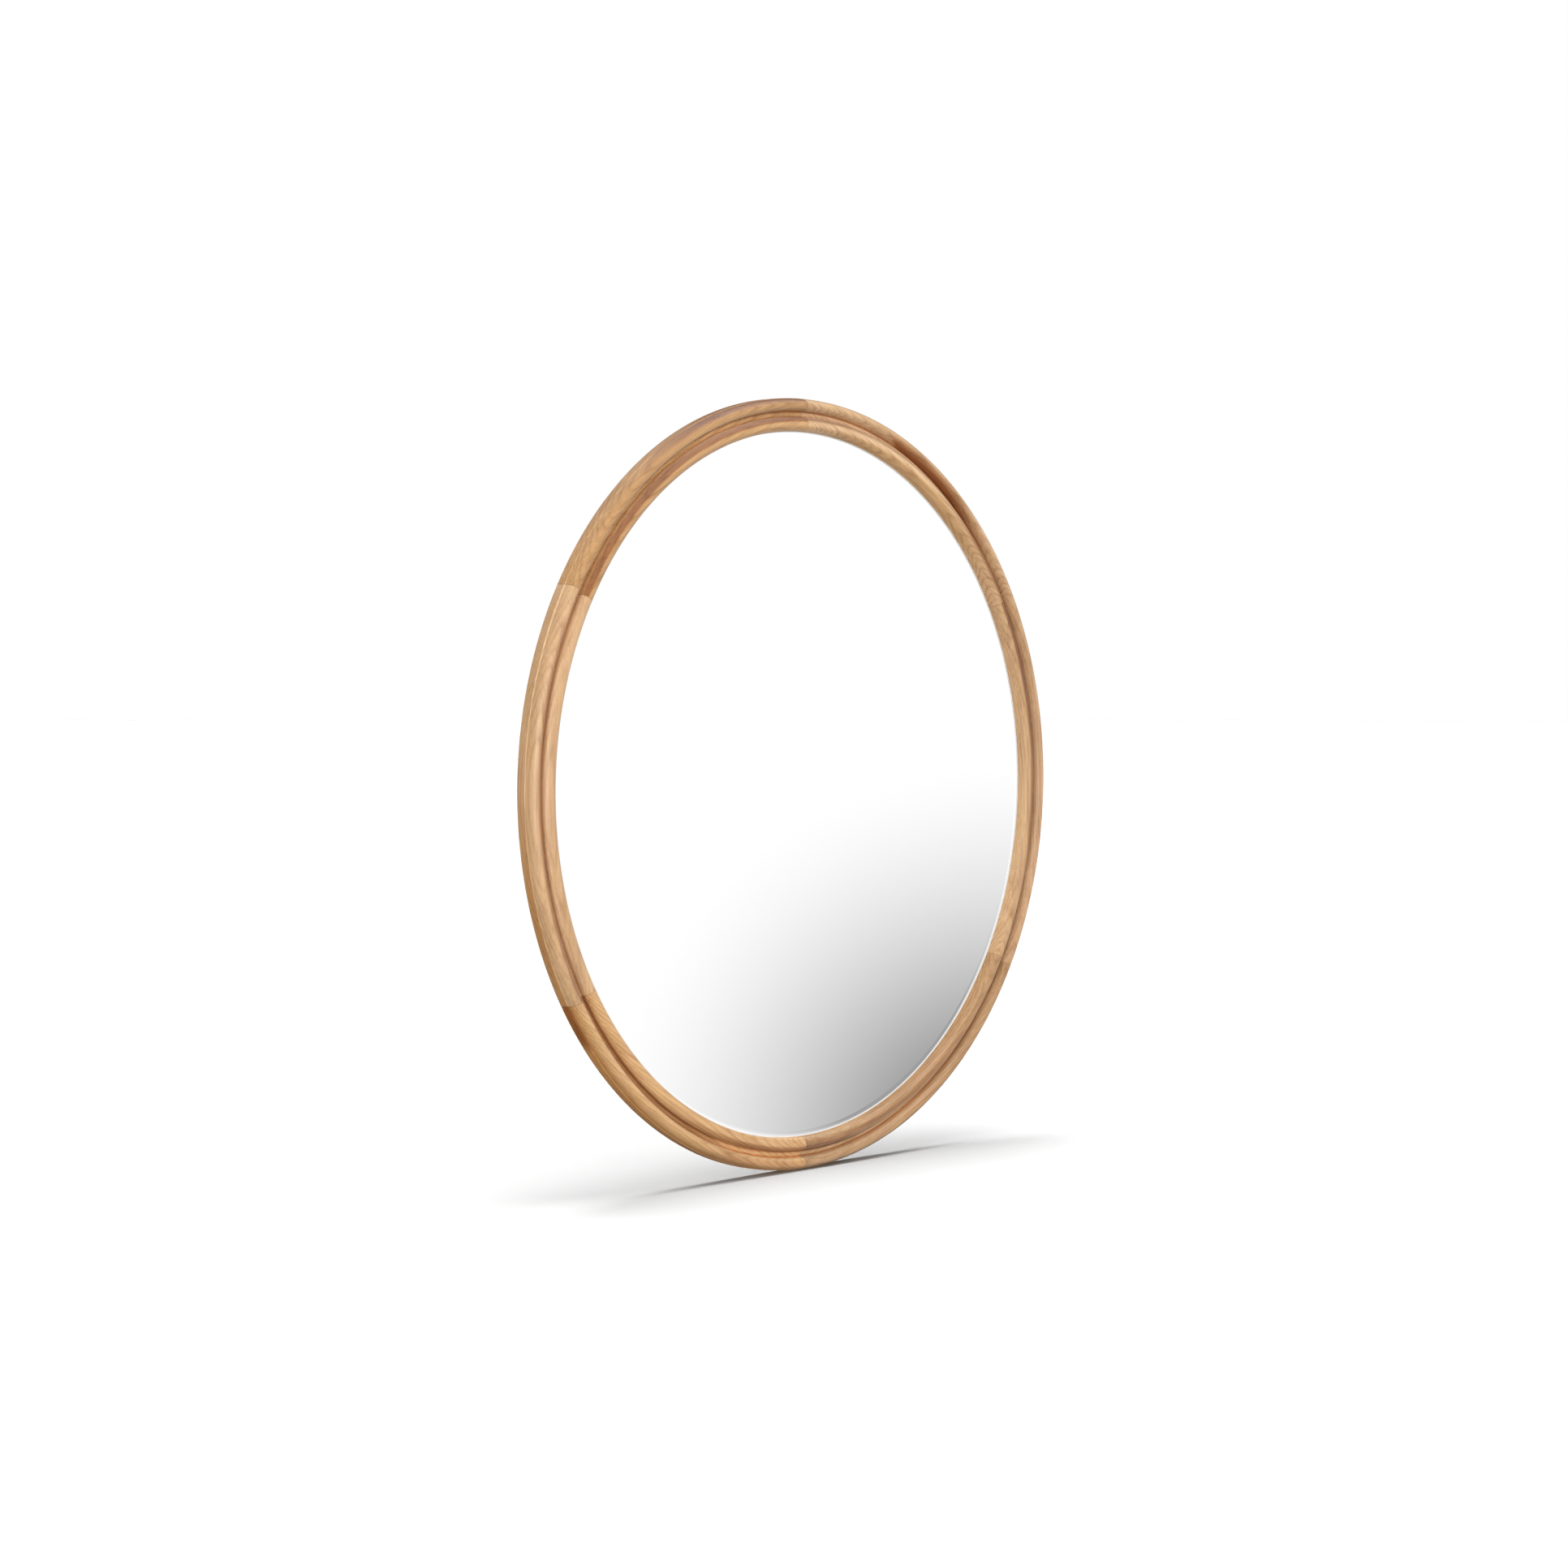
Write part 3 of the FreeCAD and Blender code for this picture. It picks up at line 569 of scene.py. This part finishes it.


# ------------------------------------------------------------------ the six oak segments
# zone: theta from, to, q from, to, softness of each theta edge, of each q edge, tint, amount, slant. The pale tint is
# a painted highlight; the brown, red-brown and orange tints are partly the wood's own figure, partly painted shade.
BROWN_FIGURE_AND_SHADE = (0.58, 0.42, 0.28)
RED_BROWN_FIGURE_AND_SHADE = (0.58, 0.38, 0.23)
ORANGE_FIGURE_AND_SHADE = (0.84, 0.68, 0.48)
GOLD = (0.88, 0.80, 0.62)
PAINTED_HIGHLIGHT = (1.26, 1.34, 1.45)
PINK = (1.05, 1.03, 1.10)
GREY = (0.86, 0.89, 1.00)
TONES = [
    dict(light=(0.552, 0.346, 0.182), dark=(0.310, 0.160, 0.066), shift=0.0, lean_w=0.010, lean_h=0.045, pith_w=22.0, pith_h=34.0, bend=10.0, bend2=1.0, ring=3.4, contrast=0.95,
         figure_highlight_and_shade_zones=[(-34, 33, 1.35, 1.78, 2, 2, 0.1, 0.3, BROWN_FIGURE_AND_SHADE, 0.8), (-14, 33, 1.6, 1.96, 16, 2, 0.2, 0.12, BROWN_FIGURE_AND_SHADE, 0.95), (10, 50, 1.7, 1.96, 14, 14, 0.2, 0.12, BROWN_FIGURE_AND_SHADE, 0.6), (-26, 22, 2.3, 2.8, 16, 14, 0.2, 0.2, PAINTED_HIGHLIGHT, 0.4), (-30, 20, 0.35, 0.75, 20, 20, 0.3, 0.3, PINK, 0.6)]),
    dict(light=(0.589, 0.374, 0.203), dark=(0.307, 0.155, 0.061), shift=610.0, lean_w=-0.020, lean_h=0.030, pith_w=-30.0, pith_h=26.0, bend=9.0, bend2=1.8, ring=3.1, contrast=0.95,
         figure_highlight_and_shade_zones=[(47, 71, 0.56, 1.05, 16, 2.5, 0.30, 0.1, RED_BROWN_FIGURE_AND_SHADE, 1.0, 8.0), (52, 71, 0.60, 1.05, 12, 2.5, 0.25, 0.1, ORANGE_FIGURE_AND_SHADE, 1.0, 8.0), (30, 50, 1.50, 1.92, 2, 14, 0.1, 0.15, BROWN_FIGURE_AND_SHADE, 0.9), (56, 92, 1.80, 2.02, 14, 2, 0.1, 0.1, PAINTED_HIGHLIGHT, 1.0), (78, 92, 1.58, 1.74, 12, 3, 0.08, 0.1, BROWN_FIGURE_AND_SHADE, 0.85), (36, 92, 0.20, 0.50, 16, 3, 0.2, 0.2, PAINTED_HIGHLIGHT, 0.65),
                (52, 92, 1.06, 1.58, 20, 3, 0.1, 0.1, PAINTED_HIGHLIGHT, 0.95), (44, 84, 2.0, 2.6, 16, 10, 0.3, 0.2, GOLD, 0.8)]),
    dict(light=(0.506, 0.289, 0.123), dark=(0.269, 0.125, 0.038), shift=1290.0, lean_w=0.015, lean_h=-0.030, pith_w=40.0, pith_h=30.0, bend=8.0, bend2=1.5, ring=3.3, contrast=0.95,
         figure_highlight_and_shade_zones=[(86, 120, -0.6, 0.36, 2, 24, 0.2, 0.3, BROWN_FIGURE_AND_SHADE, 0.75), (89, 152, 1.52, 1.80, 2, 2, 0.14, 0.14, RED_BROWN_FIGURE_AND_SHADE, 1.0), (89, 128, 1.80, 2.02, 2, 20, 0.14, 0.14, PAINTED_HIGHLIGHT, 0.7), (89, 124, 0.04, 0.40, 2, 20, 0.15, 0.2, BROWN_FIGURE_AND_SHADE, 0.9), (89, 152, 1.04, 1.42, 2, 2, 0.14, 0.1, PAINTED_HIGHLIGHT, 0.8),
                (112, 140, 0.30, 0.50, 14, 14, 0.2, 0.2, GOLD, 0.5)]),
    dict(light=(0.582, 0.368, 0.199), dark=(0.345, 0.190, 0.084), shift=1930.0, lean_w=-0.012, lean_h=0.020, pith_w=36.0, pith_h=44.0, bend=7.0, bend2=1.3, ring=3.0, contrast=0.85,
         figure_highlight_and_shade_zones=[(186, 214, -0.6, -0.02, 22, 2, 0.1, 0.1, ORANGE_FIGURE_AND_SHADE, 0.95), (156, 214, 0.50, 0.82, 18, 2, 0.12, 0.2, BROWN_FIGURE_AND_SHADE, 1.0), (186, 232, 0.56, 0.90, 14, 14, 0.12, 0.15, BROWN_FIGURE_AND_SHADE, 0.7), (160, 206, 1.42, 1.60, 12, 10, 0.08, 0.08, PAINTED_HIGHLIGHT, 1.0), (148, 164, -0.04, 0.06, 2, 14, 0.05, 0.05, PAINTED_HIGHLIGHT, 0.8)]),
    dict(light=(0.634, 0.384, 0.179), dark=(0.350, 0.171, 0.058), shift=2610.0, lean_w=0.016, lean_h=0.024, pith_w=-34.0, pith_h=38.0, bend=8.0, bend2=1.4, ring=3.2, contrast=0.95,
         figure_highlight_and_shade_zones=[(208, 262, -0.6, 0.25, 2, 20, 0.2, 0.3, ORANGE_FIGURE_AND_SHADE, 0.95), (246, 271, 1.50, 1.82, 16, 2, 0.1, 0.12, BROWN_FIGURE_AND_SHADE, 0.9), (204, 250, 1.06, 1.46, 2, 16, 0.08, 0.08, BROWN_FIGURE_AND_SHADE, 0.8), (246, 271, 0.92, 1.42, 12, 2, 0.12, 0.1, PAINTED_HIGHLIGHT, 0.9), (248, 271, 0.20, 0.60, 14, 2, 0.15, 0.15, BROWN_FIGURE_AND_SHADE, 0.5), (210, 218.5, -0.45, 0.05, 2, 2.5, 0.15, 0.1, BROWN_FIGURE_AND_SHADE, 0.95),
                (246, 271, 0.62, 1.0, 14, 2, 0.15, 0.1, PAINTED_HIGHLIGHT, 0.9), (248, 271, 2.2, 2.8, 14, 2, 0.2, 0.2, PAINTED_HIGHLIGHT, 0.9)]),
    dict(light=(0.448, 0.262, 0.124), dark=(0.244, 0.123, 0.048), shift=3270.0, lean_w=-0.010, lean_h=-0.036, pith_w=28.0, pith_h=32.0, bend=9.0, bend2=1.6, ring=3.3, contrast=0.95,
         figure_highlight_and_shade_zones=[(266, 280, 1.56, 1.86, 2, 8, 0.1, 0.1, BROWN_FIGURE_AND_SHADE, 0.9), (266, 312, 1.78, 2.05, 2, 16, 0.12, 0.15, BROWN_FIGURE_AND_SHADE, 0.55), (266, 304, 0.90, 1.42, 2, 16, 0.12, 0.1, PAINTED_HIGHLIGHT, 1.0), (266, 284, 2.2, 2.8, 2, 12, 0.2, 0.2, PAINTED_HIGHLIGHT, 0.9), (282, 330, 1.54, 1.74, 10, 2, 0.08, 0.08, PAINTED_HIGHLIGHT, 1.0), (266, 306, 0.64, 1.0, 2, 16, 0.12, 0.1, PAINTED_HIGHLIGHT, 0.9), (266, 300, 1.08, 1.38, 2, 14, 0.1, 0.1, PAINTED_HIGHLIGHT, 0.8), (266, 290, 0.2, 0.5, 2, 14, 0.2, 0.2, GREY, 0.9)]),
]

for i, node in enumerate(SEGMENTS):
    ob = frame_segment(i)
    ob.data.materials.append(oak(i, TONES[i]))
    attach(ob, "frame")
    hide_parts(node)
    ob.visible_glossy = False                     # the retouched glass shows a clean sky, not its own rim

# bedding tape: a fine turned ring whose inside edge shows under the lip
TAPE_T = 0.5
g1 = RABBET_H - TAPE_T
tape = turned_ring("foam_bedding_tape", [(365.25, g1 + 0.06), (365.2, g1 + 0.16), (365.2, g1 + 0.36), (365.3, g1 + 0.46), (365.5, RABBET_H), (369.0, RABBET_H), (372.6, RABBET_H), (372.6, g1), (369.0, g1), (365.45, g1)], 720)
tape.data.materials.append(foam_tape())
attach(tape, "frame")
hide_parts("bedding_tape")

# silvered glass: keeps the CAD size, with a finely turned ground edge
g0 = g1 - 4.0
glass = turned_disc("silvered_mirror_glass", [(0, g1), (120.0, g1), (240.0, g1), (330.0, g1), (360.0, g1), (372.1, g1), (372.45, g1 - 0.12), (372.6, g1 - 0.5), (372.6, g0 + 0.5), (372.45, g0 + 0.12), (372.1, g0), (300.0, g0), (150.0, g0), (0, g0)], 720)
glass.data.materials.append(silvered_glass())
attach(glass, "frame")
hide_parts("mirror_glass")

b0 = g0 - 3.0
board = turned_disc("hardboard_back", [(0, g0), (150.0, g0), (300.0, g0), (372.3, g0), (372.6, g0 - 0.3), (372.6, b0 + 0.5), (372.45, b0 + 0.15), (372.1, b0), (330.0, b0), (240.0, b0), (120.0, b0), (0, b0)], 720)
board.data.materials.append(hardboard())
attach(board, "frame")
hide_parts("backing_board")

# hardware keeps its CAD shape
metal = zinc()
metal2 = zinc("zinc_screw", (0.66, 0.65, 0.60))
black = rubber()
pale = beech()
for name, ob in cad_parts.items():
    if name.startswith(("turn_button_screws", "hanger_screws")):
        mat = metal2
    elif name.startswith(("turn_button", "hanger")):
        mat = metal
    elif name.startswith("wall_bumper"):
        mat = black
    elif name.startswith("joint_tenon"):
        mat = pale
    else:
        continue
    ob.data.materials.clear()
    ob.data.materials.append(mat)

# ------------------------------------------------------------------ stage
ROOM_LOW, ROOM_FRONT, ROOM_BACK, KEY, FILL = 0.80, 1.18, 0.36, 7.0, 34.0
floor_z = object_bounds()[0][2]
bm = bmesh.new()
for x, y in ((-40, -40), (40, -40), (40, 40), (-40, 40)):
    bm.verts.new((x, y, floor_z))
bm.faces.new(bm.verts)
floor = new_object("floor", bm, None)
m = Nodes("pale_floor")
soft = m.noise(m.coord(), 2.0, 3.0, 0.5)
m.set(Base_Color=m.mix(m.remap(soft, 0.3, 0.7), (0.29, 0.29, 0.29), (0.31, 0.31, 0.31)), Roughness=0.9)
m.bsdf.inputs["Specular IOR Level"].default_value = 0.0
floor.data.materials.append(m.mat)
floor.visible_glossy = False
floor.visible_diffuse = False

world = bpy.data.worlds.new("studio")
bpy.context.scene.world = world
world.use_nodes = True
wt = world.node_tree
wt.nodes.clear()


def wnode(kind, **inputs):
    n = wt.nodes.new(kind)
    for k, v in inputs.items():
        s = n.inputs[int(k[1:])]
        if isinstance(v, bpy.types.NodeSocket):
            wt.links.new(v, s)
        else:
            s.default_value = v
    return n


wo = wt.nodes.new("ShaderNodeOutputWorld")
direction = wnode("ShaderNodeVectorMath", i0=wt.nodes.new("ShaderNodeTexCoord").outputs["Generated"])
direction.operation = "NORMALIZE"
direction = direction.outputs[0]
# the grey card the glass looks at, low on the right in front of it
DARK_DIR = Vector((0.7821, -0.6047, -0.1503)).normalized()
dist = wnode("ShaderNodeVectorMath", i0=direction, i1=DARK_DIR)
dist.operation = "DISTANCE"
card = wnode("ShaderNodeMapRange", i0=dist.outputs["Value"], i1=-0.025, i2=0.138, i3=-0.04, i4=1.02)
card.interpolation_type = "SMOOTHSTEP"
card = wnode("ShaderNodeMath", i0=card.outputs[0], i1=0.34)
card.operation = "MAXIMUM"
# the room as the wood sees it: pale in front and overhead, dim behind and below
sep = wnode("ShaderNodeSeparateXYZ", i0=direction)
hemi = wnode("ShaderNodeMapRange", i0=sep.outputs[2], i1=-0.7, i2=0.8, i3=ROOM_LOW, i4=1.0)
hemi.interpolation_type = "SMOOTHSTEP"
face = wnode("ShaderNodeMapRange", i0=sep.outputs[1], i1=-0.7, i2=0.45, i3=ROOM_FRONT, i4=ROOM_BACK)
face.interpolation_type = "SMOOTHSTEP"
room = wnode("ShaderNodeMath", i0=hemi.outputs[0], i1=face.outputs[0])
room.operation = "MULTIPLY"
near = wnode("ShaderNodeMapRange", i0=dist.outputs["Value"], i1=0.55, i2=0.75, i3=1.0, i4=0.0)
near.interpolation_type = "SMOOTHSTEP"
# and as its lacquer reflects it: a bright ceiling bank, a dim far side
bank = wnode("ShaderNodeMapRange", i0=sep.outputs[2], i1=0.40, i2=0.88, i3=0.0, i4=1.6)
bank.interpolation_type = "SMOOTHSTEP"
bank_front = wnode("ShaderNodeMapRange", i0=sep.outputs[1], i1=-0.7, i2=0.30, i3=0.55, i4=0.12)
bank_front.interpolation_type = "SMOOTHSTEP"
gloss = wnode("ShaderNodeMath", i0=bank.outputs[0], i1=bank_front.outputs[0])
gloss.operation = "ADD"
path = wt.nodes.new("ShaderNodeLightPath")
card_bg = wnode("ShaderNodeBackground", i0=(1, 1, 1, 1), i1=card.outputs[0])
room_bg = wnode("ShaderNodeBackground", i0=(1, 1, 1, 1), i1=room.outputs[0])
seen_bg = wnode("ShaderNodeBackground", i0=(1, 1, 1, 1), i1=1.0)
gloss_bg = wnode("ShaderNodeBackground", i0=(1, 1, 1, 1), i1=gloss.outputs[0])
m0 = wnode("ShaderNodeMixShader", i0=near.outputs[0], i1=gloss_bg.outputs[0], i2=card_bg.outputs[0])
m1 = wnode("ShaderNodeMixShader", i0=path.outputs["Is Diffuse Ray"], i1=m0.outputs[0], i2=room_bg.outputs[0])
m2 = wnode("ShaderNodeMixShader", i0=path.outputs["Is Camera Ray"], i1=m1.outputs[0], i2=seen_bg.outputs[0])
wt.links.new(m2.outputs[0], wo.inputs[0])


def area(name, loc, target, size, size_y, energy, colour=(1, 1, 1)):
    data = bpy.data.lights.new(name, "AREA")
    data.shape = "RECTANGLE"
    data.size, data.size_y, data.energy, data.color = size, size_y, energy, colour
    ob = bpy.data.objects.new(name, data)
    bpy.context.scene.collection.objects.link(ob)
    ob.location = loc
    ob.rotation_euler = (Vector(target) - Vector(loc)).to_track_quat("-Z", "Y").to_euler()
    return ob


# soft key over the right shoulder of the piece, soft fill from the left of the camera
area("softbox_key", (0.45, -0.70, 2.00), (0, 0, 0), 1.7, 1.7, KEY)
area("softbox_fill", (-2.2, -1.6, 0.35), (0, 0, 0), 1.6, 1.6, FILL)

# floor-only suns give the soft contact shadow
only_floor = bpy.data.collections.new("floor_only")
only_floor.objects.link(floor)
for k, (sx, sy, spread, power) in enumerate(((-0.03, 0.03, 42, 5.2), (0.03, -0.04, 26, 4.0))):
    data = bpy.data.lights.new("floor_sun_%d" % k, "SUN")
    data.angle = math.radians(spread)
    data.energy = power
    ob = bpy.data.objects.new("floor_sun_%d" % k, data)
    bpy.context.scene.collection.objects.link(ob)
    d = Vector((sx, sy, -1.0)).normalized()
    ob.rotation_euler = d.to_track_quat("-Z", "Y").to_euler()
    ob.light_linking.receiver_collection = only_floor
    ob.visible_glossy = False

# ------------------------------------------------------------------ camera, at the photograph's angle
YAW, ELEV = math.radians(48.39), math.radians(1.70)
DIST = 8.359 * 0.400
FOCAL_PX = 3955.0
centre = Vector((0, BACK_Y, 0))
cam_data = bpy.data.cameras.new("camera")
cam = bpy.data.objects.new("camera", cam_data)
bpy.context.scene.collection.objects.link(cam)
cam.location = centre + Vector((-math.sin(YAW) * math.cos(ELEV), -math.cos(YAW) * math.cos(ELEV), math.sin(ELEV))) * DIST
cam.rotation_euler = (centre - cam.location).to_track_quat("-Z", "Y").to_euler()
cam_data.sensor_width = 36.0
cam_data.lens = FOCAL_PX * 36.0 / 1932.0
cam_data.shift_x = -(981.7 - 966.0) / 1932.0
cam_data.shift_y = (966.9 - 966.0) / 1932.0
cam_data.clip_end = 200.0
bpy.context.scene.camera = cam
bpy.context.scene.view_settings.view_transform = "Standard"
bpy.context.scene.view_settings.look = "None"
bpy.context.scene.view_settings.exposure = 0.0
